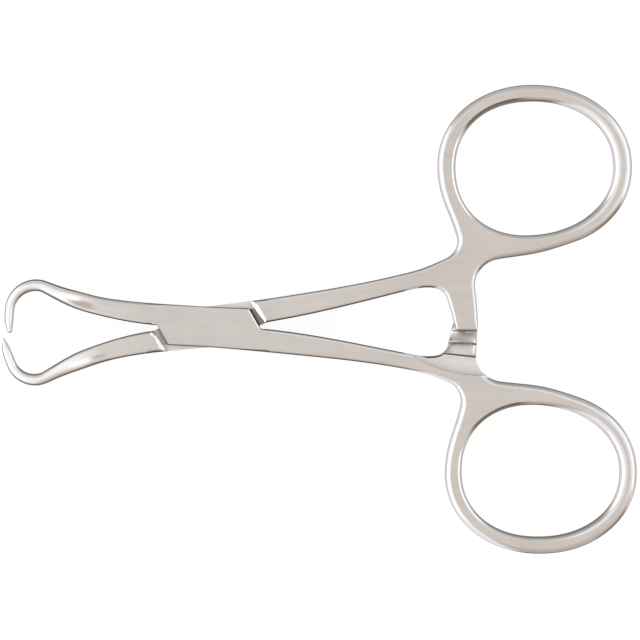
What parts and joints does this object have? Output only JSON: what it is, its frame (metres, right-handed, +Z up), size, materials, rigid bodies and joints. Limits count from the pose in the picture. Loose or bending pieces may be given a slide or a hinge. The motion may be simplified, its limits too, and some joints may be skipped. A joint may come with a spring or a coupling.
{
  "type": "towel clamp",
  "caption": "Small steel towel clamp: curved pointed jaws, box-lock hinge, slim shanks, toothed ratchet arms and oval finger rings.",
  "frame": {"origin": "on the pivot axis, at the underside of the box lock", "axes": "+X along the centre line from the pivot to the finger rings, -X to the jaws; +Y to the ring of the tongue half; +Z up along the pivot axis"},
  "size_m": [0.0888, 0.0657, 0.0044],
  "materials": {
    "satin_steel": "fine lengthwise satin brushing on the flats, polished rounded edges",
    "pin_steel": "ground flush with the box and brushed with it"
  },
  "bodies": {
    "box_side": {"box_half": "satin_steel", "lock_pin": "pin_steel"},
    "tongue_side": {"tongue_half": "satin_steel"}
  },
  "joints": [
    {"name": "box_lock", "type": "hinge", "parent": "box_side", "child": "tongue_side", "pos_m": [0, 0, 0.0022], "axis": [0, 0, 1], "range_deg": [-1, 50]}
  ]
}
